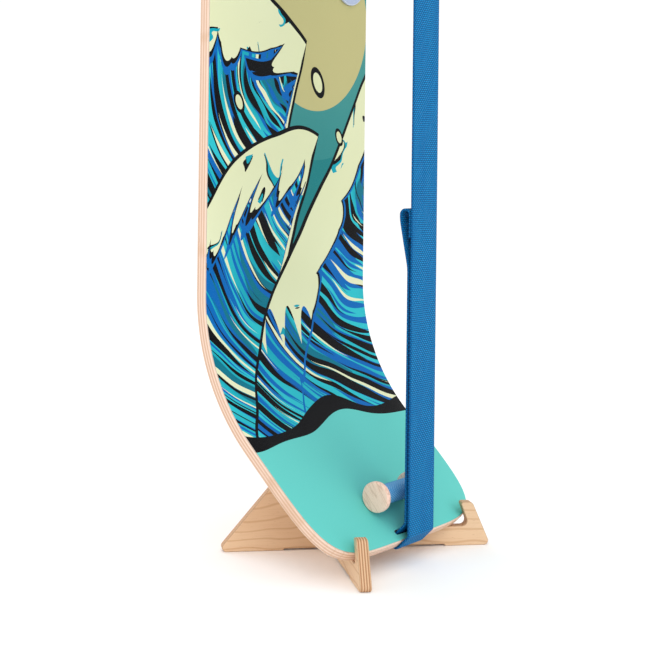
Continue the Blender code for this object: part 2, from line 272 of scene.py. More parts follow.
def noise(tree, place, detail=2.0, roughness=0.5, distortion=0.0):
    """Noise from 0 to 1 at three fields or numbers, whose units are the noise's own."""
    joined = tree.nodes.new("ShaderNodeCombineXYZ")
    for slot, value in zip(joined.inputs, place):
        feed(tree, slot, value)
    node = tree.nodes.new("ShaderNodeTexNoise")
    node.inputs["Scale"].default_value = 1.0
    node.inputs["Detail"].default_value = detail
    node.inputs["Roughness"].default_value = roughness
    node.inputs["Distortion"].default_value = distortion
    tree.links.new(joined.outputs[0], node.inputs["Vector"])
    return Field(tree, node.outputs["Fac"])


def mix(tree, factor, first, second):
    """first where factor is 0 and second where it is 1."""
    node = tree.nodes.new("ShaderNodeMix")
    node.data_type = "RGBA"
    feed(tree, node.inputs["Factor"], factor)
    for name, colour in (("A", first), ("B", second)):
        slot = next(s for s in node.inputs if s.name == name and s.type == "RGBA")
        if isinstance(colour, tuple):
            slot.default_value = colour
        else:
            tree.links.new(colour, slot)
    return next(s for s in node.outputs if s.type == "RGBA")


def bump(tree, shader, height, distance, strength):
    node = tree.nodes.new("ShaderNodeBump")
    node.inputs["Strength"].default_value = strength
    node.inputs["Distance"].default_value = distance
    feed(tree, node.inputs["Height"], height)
    tree.links.new(node.outputs["Normal"], shader.inputs["Normal"])


def finish_look(tree, shader, colour, roughness):
    """Set a shader's colour and roughness."""
    tree.links.new(colour, shader.inputs["Base Color"])
    feed(tree, shader.inputs["Roughness"], roughness)


def banded(field):
    """0 in the middle of each whole step of a field and 1 at its ends."""
    return (field.fract() - 0.5).abs() * 2.0


# ---------------------------------------------------------------- materials
# Noise scales on lengths are in cycles to a metre. A pair of colours is the ends of a mix.

MAPLE_LIGHT = (srgb(240, 214, 196), srgb(230, 198, 176))
MAPLE_DARK = (srgb(222, 186, 158), srgb(208, 168, 138))
MAPLE_RING = srgb(205, 160, 120)
MAPLE_FIBRE = srgb(180, 132, 98)
MAPLE_GLUE = srgb(150, 108, 80)
MAPLE_SPECK = srgb(110, 78, 60)
PLY_WAVER = 0.16                # how far a ply's edge wanders, in plies
PLY_MARGIN = 0.15               # keeps that wander from reaching through the two faces


def laminate_look():
    """Clear-coated maple laminate: plies across the edge, long grain on the back."""
    material, tree, shader = new_material("deck_laminate")
    across, along, depth = place_fields(tree)
    pitch = (DECK_THICKNESS - SHEET_THICKNESS - GAP) / PLIES
    level = (depth - (SHEET_THICKNESS + GAP)) / pitch
    waver = noise(tree, (across * 9, along * 9, 0.0), 1.0) - 0.5
    level = (level + waver * PLY_WAVER).higher(PLY_MARGIN).lower(PLIES - PLY_MARGIN)
    ply = level.floor()
    parity = (ply * 0.5).fract().above(0.25)
    tone = noise(tree, (ply * 3.7, along * 2.0, 2.0), 1.0)
    fibres = noise(tree, (across * 900, along * 22, level * 2.0), 3.0, 0.6)
    figure = noise(tree, (across * 26, along * 2.2, 4.0), 3.0, 0.55, 0.6)
    wood = mix(tree, parity, mix(tree, tone, *MAPLE_LIGHT), mix(tree, tone, *MAPLE_DARK))
    wood = mix(tree, banded(figure * 9.0).ramp(0.75, 1.0) * 0.35, wood, MAPLE_RING)
    wood = mix(tree, fibres.ramp(0.55, 0.8) * 0.3, wood, MAPLE_FIBRE)
    glue = banded(level).ramp(0.88, 1.0)
    wood = mix(tree, glue * 0.45, wood, MAPLE_GLUE)
    speck = noise(tree, (across * 60, along * 34, depth * 900), 1.0)
    wood = mix(tree, speck.ramp(0.76, 0.8) * 0.6, wood, MAPLE_SPECK)
    finish_look(tree, shader, wood, fibres * 0.2 + 0.36)
    shader.inputs["Coat Weight"].default_value = 0.25
    shader.inputs["Coat Roughness"].default_value = 0.25
    bump(tree, shader, fibres * 0.6 + (1 - glue) * 0.4, 0.2 * MM, 0.5)
    return material


INK = srgb(3, 4, 8)
FOAM = srgb(212, 216, 172)
PALE_FOAM = srgb(222, 226, 188)
TEAL = srgb(14, 158, 174)
DEEP_TEAL = srgb(6, 112, 132)
LIGHT_TEAL = srgb(44, 186, 196)
BLUE = srgb(0, 100, 176)
AQUA = srgb(98, 198, 190)
MOON = srgb(186, 180, 126)
SKY_LOW = srgb(30, 122, 124)
SKY_HIGH = srgb(66, 142, 138)
SHEET_EDGE = srgb(205, 200, 190)
WHITE = srgb(255, 255, 255)

# The seascape's layout, in metres across the board and along it from the nose tip.
WARP = 0.026                    # how far noise bends the whole drawing
SKY_RANGE = (0.47, 0.60)        # where the sky turns from its low colour to its high one
MOON_CENTRE = (0.048, 0.655)
MOON_RADIUS = 0.112
HALO_RADIUS = 0.172
FOAM_END = 0.262                # foam thins out into water below here
DROPS = (((0.100, 0.512), 0.0052), ((0.052, 0.578), 0.0088), ((-0.104, 0.548), 0.0060))
DROP_INK = 1.55                 # a droplet's ink outline as a multiple of its radius
SURGE_TOP = 0.164               # the plain water by the nose
UPPER_TOP = 0.205               # the plain water by the tail, from the tail tip
UPPER_BANDS = (0.030, 0.025)    # its ink and foam borders


def hypotenuse(du, dv):
    """Length of a step across and along."""
    return (du * du + dv * dv).power(0.5)


def polar(u, v, centre):
    """Distance from a curl's centre and the angle about it, whose jump lies above the curl."""
    du = u - centre[0]
    dv = v - centre[1]
    return hypotenuse(du, dv), du.math("ARCTAN2", dv * -1)


def hatching(tree, colour, radius, angle, seed, pitch, tint, thickness, rarity):
    """Long tapered strokes that run round the curl, one to a ring, each with its own swell."""
    level = radius / pitch + seed
    ring = level.floor()
    swell = noise(tree, (ring * 5.37, angle * 1.7 + ring * 0.31, seed), 0.0)
    half_width = (swell - rarity) * thickness
    return mix(tree, banded(level).below(half_width), colour, tint)


def strokes(tree, u, v, centre, seed):
    """A wave's hollow side: bands of water combed round the curl."""
    radius, angle = polar(u, v, centre)
    wander = noise(tree, (angle * 1.3 + seed, radius * 8, seed + 2.0), 1.0) - 0.5
    radius = radius + wander * 0.045
    light = noise(tree, (radius * 26, angle * 0.9, seed + 7.0), 0.0)
    colour = mix(tree, light.ramp(0.35, 0.62), TEAL, LIGHT_TEAL)
    colour = mix(tree, light.below(0.40), colour, DEEP_TEAL)
    for offset, pitch, tint, thickness, rarity in (
        (0.4, 0.0150, BLUE, 3.6, 0.45),
        (3.7, 0.0092, BLUE, 3.0, 0.48),
        (1.9, 0.0118, INK, 3.4, 0.50),
        (6.1, 0.0200, INK, 2.6, 0.47),
        (8.3, 0.0170, PALE_FOAM, 1.5, 0.52),
    ):
        colour = hatching(tree, colour, radius, angle, seed + offset, pitch, tint,
                          thickness, rarity)
    return colour


def foam_marks(tree, u, v, seed):
    """Cream foam with a few short ink curls and their teal shadows."""
    swirl = noise(tree, (u * 20, v * 16, seed), 1.0, 0.45, 0.9)
    where = noise(tree, (u * 14, v * 14, seed + 9.0), 0.0)
    tone = noise(tree, (u * 9, v * 9, seed + 4.0), 0.0)
    foam = mix(tree, tone, FOAM, PALE_FOAM)
    shade = (swirl - 0.540).abs().below(0.017) * where.above(0.56)
    line = (swirl - 0.515).abs().below(0.0135) * where.above(0.58)
    colour = mix(tree, shade, foam, TEAL)
    return mix(tree, line, colour, INK)


def crest(tree, u, under, slope, seed, depth, finger, pitch, slant):
    """(inside, foam, outline, shadow) masks of a wave whose crest is where under is 0.

    Fingers of foam, one to a pitch, hang down from the crest and lean by slant with depth.
    Slope is how much longer a step straight down is than one square to the crest.
    """
    hook = under.lower(0.12)
    run = u + hook * slant + hook * hook * (slant * 5)
    wander = noise(tree, (run * 10, under * 7, seed), 1.0) - 0.5
    comb = (run * (math.pi / pitch) + wander * 4.0).sin().abs()
    fine = (run * (math.pi / pitch) * 2.3 + wander * 6.0 + seed).sin().abs()
    lower_edge = depth + comb.power(0.7) * finger + fine.power(0.7) * (finger * 0.16)
    lower_edge = lower_edge + wander * finger
    line = slope * 0.0050
    rim = 0.0066 + wander * 0.006
    inside = under.above(0.0)
    foam = inside * under.below(lower_edge)
    outline = inside * under.below(line + wander * 0.004)
    outline = outline.higher(inside * under.above(lower_edge) * under.below(lower_edge + rim))
    shadow = inside * under.above(lower_edge + rim) * under.below(lower_edge + rim * 2.2)
    return inside, foam, outline, shadow


def drop(tree, colour, u, v, centre, radius):
    """A droplet with an ink outline."""
    du = (u - centre[0]) + (v - centre[1]) * 0.35
    dv = (v - centre[1]) * 0.72
    away = hypotenuse(du, dv)
    colour = mix(tree, away.below(radius * DROP_INK), colour, INK)
    return mix(tree, away.below(radius), colour, FOAM)


def sky(tree, across, along):
    """Teal that pales upwards, with a moon in a faint halo."""
    colour = mix(tree, along.ramp(*SKY_RANGE), SKY_LOW, SKY_HIGH)
    away = hypotenuse(across - MOON_CENTRE[0], along - MOON_CENTRE[1])
    colour = mix(tree, away.below(HALO_RADIUS) * 0.5, colour, SKY_HIGH)
    return mix(tree, away.below(MOON_RADIUS), colour, MOON)


def swells(tree, colour, u, v):
    """Three swells, each in front of the one before it; the first two overhang their fronts."""
    far_front = u - 0.012 - (v - 0.600) * 0.42
    near_front = u - 0.048 - (v - 0.500) * 0.55
    far_crest = 0.640 - u * 0.9 + (u * 27 + 0.4).sin() * 0.012 - far_front.higher(0.0) * 7.0
    near_crest = 0.523 - u * u * 3.4 + (u * 36).sin() * 0.006 - near_front.higher(0.0) * 7.0
    sweep = 0.372 + u * 1.45 + (u * 24 + 2.2).sin() * 0.009
    # Crest height, slope, curl centre, seed, foam depth, finger length and pitch, slant.
    for height, slope, curl, seed, deep, finger, pitch, slant in (
        (far_crest, far_front.above(0.0) * 6.0 + 1.4, (0.030, 0.610), 0.3,
         (far_crest - 0.640).higher(0.034), 0.040, 0.044, 0.5),
        (near_crest, near_front.above(0.0) * 6.0 + 1.1, (0.075, 0.500), 4.1,
         0.044, 0.034, 0.040, 0.4),
        (sweep, 1.7, (0.215, 0.470), 8.6, 0.118 - u * 0.35, 0.034, 0.075, -0.3),
    ):
        under = height - v
        inside, foam, outline, shadow = crest(tree, u, under, slope, seed,
                                              deep, finger, pitch, slant)
        water = strokes(tree, u, v, curl, seed)
        water = mix(tree, shadow, water, BLUE)
        thinning = v.above(FOAM_END + (u * 90 + seed).sin().abs() * 0.045)
        outline = outline * foam.higher(thinning).higher(under.below(0.02))
        water = mix(tree, foam * thinning, water, foam_marks(tree, u, v, seed))
        water = mix(tree, outline, water, INK)
        colour = mix(tree, inside, colour, water)
    return colour


def plain_ends(tree, colour, u, v, along):
    """Plain water at the nose, below an ink surge, and at the tail, behind a line of foam."""
    surge = SURGE_TOP + (u * 20 + 0.8).sin() * 0.012 + (u * 47).sin() * 0.004
    crest_line = surge + 0.012 + (u * 34 + 1.7).sin() * 0.007
    colour = mix(tree, along.below(crest_line), colour, INK)
    colour = mix(tree, along.below(surge - 0.006), colour, AQUA)

    from_tail = DECK_LENGTH - along
    edge = UPPER_TOP + (u * 19 + 2.0).sin() * 0.016 + (u * 47).sin() * 0.004
    ink_band, foam_band = UPPER_BANDS
    colour = mix(tree, from_tail.below(edge + ink_band), colour, INK)
    colour = mix(tree, from_tail.below(edge + foam_band), colour, foam_marks(tree, u, v, 21.0))
    colour = mix(tree, from_tail.below(edge), colour, INK)
    return mix(tree, from_tail.below(edge - 0.010), colour, DEEP_TEAL)


def print_look():
    """The printed sheet: a made-up seascape of swells, foam and a low moon."""
    material, tree, shader = new_material("printed_sheet")
    across, along, depth = place_fields(tree)
    warp_u = noise(tree, (across * 9, along * 9, 1.0), 1.0) - 0.5
    warp_v = noise(tree, (across * 9, along * 9, 7.0), 1.0) - 0.5
    u = across + warp_u * WARP
    v = along + warp_v * WARP

    colour = swells(tree, sky(tree, across, along), u, v)
    for centre, radius in DROPS:
        colour = drop(tree, colour, across, along, centre, radius)
    colour = plain_ends(tree, colour, u, v, along)

    colour = mix(tree, depth.ramp(0.3 * MM, 0.6 * MM), colour, SHEET_EDGE)
    speckle = noise(tree, (across * 800, along * 800, 0.0), 1.0)
    colour = mix(tree, speckle.ramp(0.45, 0.7) * 0.012, colour, WHITE)
    scuffs = noise(tree, (across * 7, along * 40, 0.0), 4.0, 0.6)
    finish_look(tree, shader, colour, scuffs * 0.16 + 0.38)
    shader.inputs["Specular IOR Level"].default_value = 0.05
    bump(tree, shader, speckle, 0.05 * MM, 0.35)
    return material


WEBBING_HOLLOW_SHADE_TOP_LIGHT = (srgb(0, 66, 116), srgb(14, 134, 196))
WEBBING_DRIFT = srgb(0, 90, 152)
WEBBING_SHEEN = srgb(40, 144, 206)
WEBBING_SELVEDGE_SHADE = srgb(0, 56, 112)
WEBBING_YARN = srgb(50, 145, 205)


def webbing_look():
    """Plain-woven polyester webbing: staggered raised floats in rows, firm selvedges. The float tops carry painted
    light and a painted sheen; the hollows between the floats and the rounded selvedges carry painted shade.
    """
    material, tree, shader = new_material("webbing")
    across, along, _ = place_fields(tree)
    row = along / PICK
    shift = (row.floor() * 0.5).fract()
    column = across / FLOAT_WIDTH + shift
    here = (row.fract() - 0.5) * 2.0
    there = (column.fract() - 0.5) * 2.0
    bulge = ((1 - here * here).higher(0.0) * (1 - there * there).higher(0.0)).power(0.6)
    yarn = noise(tree, (across * 2600, along * 500, 0.0), 2.0, 0.6)
    drift = noise(tree, (across * 60, along * 14, 3.0), 2.0)
    sheen_streaks = noise(tree, (across * 260 + along * 90, along * 40, 1.0), 1.0)
    # Painted light and shade: float tops lighter, the hollows between the floats darker.
    colour = mix(tree, bulge.ramp(0.3, 0.85), *WEBBING_HOLLOW_SHADE_TOP_LIGHT)
    colour = mix(tree, drift.ramp(0.35, 0.7) * 0.3, colour, WEBBING_DRIFT)
    # Painted sheen: lighter streaks on the raised float tops.
    colour = mix(tree, sheen_streaks.ramp(0.5, 0.75) * bulge * 0.35, colour, WEBBING_SHEEN)
    # Painted shade: darker on the rounded selvedges.
    selvedge = across.abs().ramp(STRAP_WIDTH / 2 - 2.2 * MM, STRAP_WIDTH / 2 - 1.0 * MM)
    colour = mix(tree, selvedge * 0.5, colour, WEBBING_SELVEDGE_SHADE)
    colour = mix(tree, yarn.ramp(0.4, 0.75) * 0.07, colour, WEBBING_YARN)
    finish_look(tree, shader, colour, yarn * 0.25 + 0.55)
    shader.inputs["Specular IOR Level"].default_value = 0.12
    bump(tree, shader, bulge + yarn * 0.15, 0.5 * MM, 0.9)
    return material


PILE = (srgb(4, 18, 50), srgb(18, 60, 120))
PILE_ROW = srgb(2, 10, 30)
PILE_PITCH = 1.8 * MM


def hook_loop_look():
    """Dark blue hook-and-loop pile."""
    material, tree, shader = new_material("hook_loop")
    x, y, z = object_fields(tree)
    pile = noise(tree, (x * 1400, y * 1400, z * 1400), 3.0, 0.7)
    colour = mix(tree, pile, *PILE)
    colour = mix(tree, banded(z / PILE_PITCH).ramp(0.7, 1.0) * 0.4, colour, PILE_ROW)
    finish_look(tree, shader, colour, pile * 0.2 + 0.75)
    bump(tree, shader, pile, 0.6 * MM, 1.0)
    return material


BIRCH = (srgb(252, 222, 206), srgb(234, 192, 168))
BIRCH_RING = srgb(206, 160, 134)
BIRCH_PORE = srgb(160, 122, 90)
GRAIN_LEAN = (0.5, 0.87)        # the grain's direction on a disc, along Y and Z


def roller_wood_look():
    """Sanded birch with fine straight grain across the discs."""
    material, tree, shader = new_material("roller_wood")
    x, y, z = object_fields(tree)
    centre = Vector(JOINTS["grip_spin"]["pos_m"])
    lean_y, lean_z = GRAIN_LEAN
    leaning = (y - centre.y) * lean_y + (z - centre.z) * lean_z
    level = (y - centre.y) * lean_z - (z - centre.z) * lean_y
    rays = noise(tree, (x * 90, leaning * 90, level * 2200), 3.0, 0.6)
    pores = noise(tree, (x * 220, leaning * 700, level * 2300), 2.0, 0.6)
    figure = noise(tree, (x * 30, leaning * 16, level * 150), 2.0)
    colour = mix(tree, rays, *BIRCH)
    colour = mix(tree, banded(figure * 6.0).ramp(0.6, 1.0) * 0.6, colour, BIRCH_RING)
    colour = mix(tree, pores.ramp(0.6, 0.72) * 0.55, colour, BIRCH_PORE)
    finish_look(tree, shader, colour, rays * 0.2 + 0.5)
    bump(tree, shader, rays * 0.5 + pores * 0.5, 0.2 * MM, 0.6)
    return material


RUBBER = (srgb(34, 132, 198), srgb(62, 158, 216))
RUBBER_DIMPLE = srgb(168, 214, 238)
RUBBER_DUST = srgb(130, 190, 230)


def grip_look():
    """Soft dimpled rubber, lighter in its dimples, with a little dust between them."""
    material, tree, shader = new_material("roller_rubber")
    depth = place_fields(tree)[2]
    x, y, z = object_fields(tree)
    cloud = noise(tree, (x * 60, y * 60, z * 60), 3.0)
    dust = noise(tree, (x * 1500, y * 1500, z * 1500), 2.0)
    colour = mix(tree, cloud, *RUBBER)
    colour = mix(tree, depth.ramp(0.25, 0.7) * 0.75, colour, RUBBER_DIMPLE)
    colour = mix(tree, dust.ramp(0.6, 0.8) * (1 - depth) * 0.5, colour, RUBBER_DUST)
    finish_look(tree, shader, colour, dust * 0.2 + 0.5)
    bump(tree, shader, dust, 0.1 * MM, 0.4)
    return material


PAD_SATIN = (srgb(158, 172, 200), srgb(172, 184, 208))
PAD_RIM_HIGHLIGHT = srgb(205, 214, 228)
PAD_GASKET_SHADOW = srgb(62, 46, 36)


def pad_look():
    """Satin moulded pad on a thin gasket that is coloured dark as a painted contact shadow; its rounded rim
    carries a painted highlight.
    """
    material, tree, shader = new_material("pad")
    across, height, _ = place_fields(tree)
    x, y, z = object_fields(tree)
    grain = noise(tree, (x * 1800, y * 1800, z * 1800), 2.0, 0.6)
    cloud = noise(tree, (x * 40, y * 40, z * 40), 2.0)
    colour = mix(tree, cloud, *PAD_SATIN)
    # Painted highlight: lighter on the pad's rounded rim.
    colour = mix(tree, across.ramp(30.0 * MM, 31.2 * MM) * 0.6, colour, PAD_RIM_HIGHLIGHT)
    # Painted contact shadow: the gasket under the pad coloured dark.
    colour = mix(tree, height.below(GASKET), colour, PAD_GASKET_SHADOW)
    finish_look(tree, shader, colour, grain * 0.2 + 0.3)
    bump(tree, shader, grain, 0.1 * MM, 0.5)
    return material


PLYWOOD_FACE = (srgb(232, 200, 164), srgb(219, 182, 143))
PLYWOOD_LATE = srgb(196, 150, 106)
PLYWOOD_FIBRE = srgb(190, 146, 106)
PLYWOOD_FLECK = srgb(160, 116, 80)
PLYWOOD_DARK = (srgb(188, 136, 92), srgb(160, 108, 70))
PLYWOOD_LIGHT = (srgb(230, 196, 158), srgb(210, 170, 130))
PLYWOOD_GLUE = srgb(128, 86, 56)
PLYWOOD_EASED = srgb(150, 112, 82)
RING_PITCH = 12.5 * MM


def plywood_look(node):
    """Bare birch plywood for one stand plate: level grain on its faces, plies on its edges."""
    material, tree, shader = new_material(node + "_plywood")
    corners = [vertex.co for vertex in frame["nodes"][node].data.vertices]
    leaning = min(corners, key=lambda corner: corner.y).x
    direction = Vector((math.copysign(1, leaning), -1, 0)).normalized()
    normal = Vector((-direction.y, direction.x, 0))
    depths = [corner.dot(normal) for corner in corners]
    middle = (max(depths) + min(depths)) / 2
    thickness = max(depths) - min(depths)
    x, y, z = object_fields(tree)
    run = x * direction.x + y * direction.y
    through = (x * normal.x + y * normal.y) - middle
    pitch = thickness / STAND_PLIES
    waver = noise(tree, (run * 12, z * 12, 0.0), 1.0) - 0.5
    level = through / pitch + waver * 0.12
    ply = (level + 0.5).floor()
    crossed = (ply * 0.5).fract().above(0.25)
    glue = banded(level + 0.5).ramp(0.84, 1.0)
    side = through.above(0.0) * 3.1

    bend = noise(tree, (run * 7.0, z * 12.0, side), 2.0, 0.5)
    late = banded(z / RING_PITCH + bend * 3.4).ramp(0.72, 0.98)
    fibres = noise(tree, (run * 45, z * 1300, through * 1300), 3.0, 0.65)
    flecks = noise(tree, (run * 160, z * 1500, side), 2.0, 0.5)
    warmth = noise(tree, (run * 5.0, z * 26, side + 4.0), 2.0)
    face = mix(tree, warmth, *PLYWOOD_FACE)
    face = mix(tree, late * 0.55, face, PLYWOOD_LATE)
    face = mix(tree, fibres.ramp(0.5, 0.8) * 0.3, face, PLYWOOD_FIBRE)
    face = mix(tree, flecks.ramp(0.66, 0.74) * 0.45, face, PLYWOOD_FLECK)
    end_grain = noise(tree, (run * 900, z * 900, through * 2000), 2.0, 0.7)
    dark_ply = mix(tree, end_grain, *PLYWOOD_DARK)
    light_ply = mix(tree, fibres, *PLYWOOD_LIGHT)
    edge = mix(tree, crossed, light_ply, dark_ply)
    edge = mix(tree, glue * 0.6, edge, PLYWOOD_GLUE)
    half = thickness / 2
    outer = through.abs().ramp(half - 0.25 * MM, half - 0.05 * MM)
    colour = mix(tree, outer, edge, face)
    eased = through.abs().ramp(half - 1.1 * MM, half - 0.6 * MM) * (1 - outer)
    colour = mix(tree, eased * 0.5, colour, PLYWOOD_EASED)
    finish_look(tree, shader, colour, fibres * 0.22 + 0.5)
    bump(tree, shader, fibres * 0.6 + late * 0.2 + glue * 0.2, 0.2 * MM, 0.5)
    return material


# ---------------------------------------------------------------- mesh helpers

def finish_mesh(name, bm, material, sharp_degrees=35):
    """Turn a bmesh into a smooth-shaded piece, with edges sharper than the angle kept crisp."""
    bmesh.ops.recalc_face_normals(bm, faces=bm.faces)
    mesh = bpy.data.meshes.new(name)
    bm.to_mesh(mesh)
    bm.free()
    mesh.shade_smooth()
    mesh.set_sharp_from_angle(angle=math.radians(sharp_degrees))
    piece = bpy.data.objects.new(name, mesh)
    bpy.context.scene.collection.objects.link(piece)
    mesh.materials.append(material)
    return piece


def deck_profile(along):
    """Printed face at a length from the nose tip: forward, up and the face's tilt."""
    if along > DECK_LENGTH / 2:
        forward, up, tilt = deck_profile(DECK_LENGTH - along)
        return forward, DECK_CHORD - up, -tilt
    if along <= END_LENGTH:
        return -along * math.sin(BEND_ANGLE), along * math.cos(BEND_ANGLE), BEND_ANGLE
    tilt = max(0.0, BEND_ANGLE - (along - END_LENGTH) / BEND_RADIUS)
    forward = -END_LENGTH * math.sin(BEND_ANGLE)
    forward -= BEND_RADIUS * (math.cos(tilt) - math.cos(BEND_ANGLE))
    up = END_LENGTH * math.cos(BEND_ANGLE) + BEND_RADIUS * (math.sin(BEND_ANGLE) - math.sin(tilt))
    return forward, up + max(0.0, along - END_LENGTH - BEND_LENGTH), tilt


def deck_point(across, along, depth):
    """A point at a depth behind the printed face, in the row frame."""
    forward, up, tilt = deck_profile(along)
    local = Vector((across, -(forward - depth * math.cos(tilt)), up - depth * math.sin(tilt)))
    return BOARD @ local


def outline_rows(inset):
    """(half width, along) rows from nose tip to tail tip, close together round the corners."""
    reach = NOSE_LENGTH - inset
    lengths = [NOSE_LENGTH - reach * math.cos(NOSE_STEP * step) ** (2 / NOSE_POWER)
               for step in range(1, 33)]
    lengths = [length for length in lengths if length < 60 * MM]
    length = lengths[-1] + ROW_STEP
    while length < DECK_LENGTH / 2 - ROW_STEP:
        lengths.append(length)
        length += ROW_STEP if length < END_LENGTH + BEND_LENGTH else 4 * ROW_STEP
    lengths.append(DECK_LENGTH / 2)
    rows = []
    for length in lengths:
        short = max(0.0, NOSE_LENGTH - length) / reach
        share = (1 - short ** NOSE_POWER) ** (1 / NOSE_POWER)
        rows.append(((DECK_WIDTH / 2 - inset) * share, length))
    mirrored = [(half, DECK_LENGTH - length) for half, length in reversed(rows[:-1])]
    return [(0.0, inset)] + rows + mirrored + [(0.0, DECK_LENGTH - inset)]


def rim_section(front, back, radius):
    """(inset, depth) points round the rim, from the front face to the back face."""
    turns = [RIGHT_ANGLE * step / RIM_STEPS for step in range(RIM_STEPS + 1)]
    dips = [(radius * (1 - math.sin(turn)), radius * (1 - math.cos(turn))) for turn in turns]
    section = [(inset, front + dip) for inset, dip in dips]
    section += [(dip, back - inset) for inset, dip in dips]
    return section


def cut_slots(flat):
    """Cut both strap slots through a flat layer; the result as a bmesh."""
    end_radius = SLOT_WIDTH / 2
    straight = SLOT_LENGTH / 2 - end_radius
    below = -50 * MM
    cutters = []
    for along in (SLOT_INSET, DECK_LENGTH - SLOT_INSET):
        bm = bmesh.new()
        corners = []
        for side in (1, -1):
            for step in range(180 // SLOT_TURN_STEP + 1):
                turn = math.radians(90 - 90 * side + SLOT_TURN_STEP * step)
                across = side * straight + end_radius * math.sin(turn)
                corner = (across, along + end_radius * math.cos(turn), below)
                corners.append(bm.verts.new(corner))
        lid = bm.faces.new(corners)
        grown = bmesh.ops.extrude_face_region(bm, geom=[lid])["geom"]
        moved = [item for item in grown if isinstance(item, bmesh.types.BMVert)]
        bmesh.ops.translate(bm, verts=moved, vec=(0, 0, -2 * below))
        cutter = finish_mesh("slot_cutter", bm, flat.data.materials[0])
        boolean = flat.modifiers.new("slot", "BOOLEAN")
        boolean.operation = "DIFFERENCE"
        boolean.object = cutter
        cutters.append(cutter)
    bpy.context.view_layer.update()
    evaluated = flat.evaluated_get(bpy.context.evaluated_depsgraph_get())
    cut = bmesh.new()
    cut.from_mesh(evaluated.to_mesh())
    evaluated.to_mesh_clear()
    for spent in (*cutters, flat):
        bpy.data.objects.remove(spent, do_unlink=True)
    return cut


def bent_layer(name, front, back, inset, radius, material):
    """A closed, bent layer of the deck with rounded rim and both strap slots."""
    rows = outline_rows(inset)
    section = rim_section(front, back, radius)
    bm = bmesh.new()
    rims = []
    for index, (half, along) in enumerate(rows):
        if index in (0, len(rows) - 1):
            inward = (0.0, 1.0 if index == 0 else -1.0)
        else:
            before, after = rows[index - 1], rows[index + 1]
            slope = Vector((after[0] - before[0], after[1] - before[1])).normalized()
            inward = (-slope.y, slope.x)
        sides = []
        for side in (-1, 1):
            ring = []
            for rim_inset, depth in section:
                across = side * max(0.0, half + inward[0] * rim_inset)
                ring.append(bm.verts.new((across, along + inward[1] * rim_inset, depth)))
            sides.append(ring)
        if half == 0.0:
            for first, second in zip(*sides):
                bmesh.ops.pointmerge(bm, verts=[first, second], merge_co=first.co)
            alive = [vert for vert in sides[0] if vert.is_valid]
            alive = alive or [vert for vert in sides[1] if vert.is_valid]
            sides = [alive, alive]
        rims.append(sides)

    def face_row(sides, level):
        left, right = sides[0][level], sides[1][level]
        if left is right:
            return [left]
        inner = [bm.verts.new(left.co.lerp(right.co, step / FACE_COLUMNS))
                 for step in range(1, FACE_COLUMNS)]
        return [left, *inner, right]

    fronts = [face_row(sides, 0) for sides in rims]
    backs = [face_row(sides, -1) for sides in rims]
    for grid in (fronts, backs):
        for first, second in zip(grid, grid[1:]):
            if len(first) == 1 or len(second) == 1:
                point, line = (first[0], second) if len(first) == 1 else (second[0], first)
                for one, two in zip(line, line[1:]):
                    bm.faces.new((point, one, two))
                continue
            for place in range(FACE_COLUMNS):
                bm.faces.new((first[place], first[place + 1], second[place + 1], second[place]))
    for first, second in zip(rims, rims[1:]):
        for side in (0, 1):
            for level in range(len(section) - 1):
                bm.faces.new((first[side][level], first[side][level + 1],
                              second[side][level + 1], second[side][level]))
    bent = cut_slots(finish_mesh(name + "_flat", bm, material))
    places = [vert.co.copy() for vert in bent.verts]
    for vert in bent.verts:
        vert.co = deck_point(*vert.co)
    piece = finish_mesh(name, bent, material)
    store_place(piece, places)
    return piece


def store_place(piece, places):
    """Keep each point's own coordinates for the material."""
    attribute = piece.data.attributes.new("place", "FLOAT_VECTOR", "POINT")
    attribute.data.foreach_set("vector", [value for place in places for value in place])


def walk(start, heading, moves):
    """Points along straights and turns, about one to each row of the weave."""
    here = Vector(start)
    points = [here.copy()]
    for move in moves:
        if move[0] == "straight":
            steps = max(1, round(move[1] / PICK))
            stride = Vector((math.cos(heading), math.sin(heading))) * (move[1] / steps)
            for _ in range(steps):
                here = here + stride
                points.append(here.copy())
            continue
        angle, radius = move[1:]
        side = math.copysign(1, angle)
        centre = here + side * radius * Vector((-math.sin(heading), math.cos(heading)))
        steps = max(3, round(abs(angle) / TURN_STEP), round(abs(angle) * radius / PICK))
        for _ in range(steps):
            heading += angle / steps
            here = centre + side * radius * Vector((math.sin(heading), -math.cos(heading)))
            points.append(here.copy())
    return points


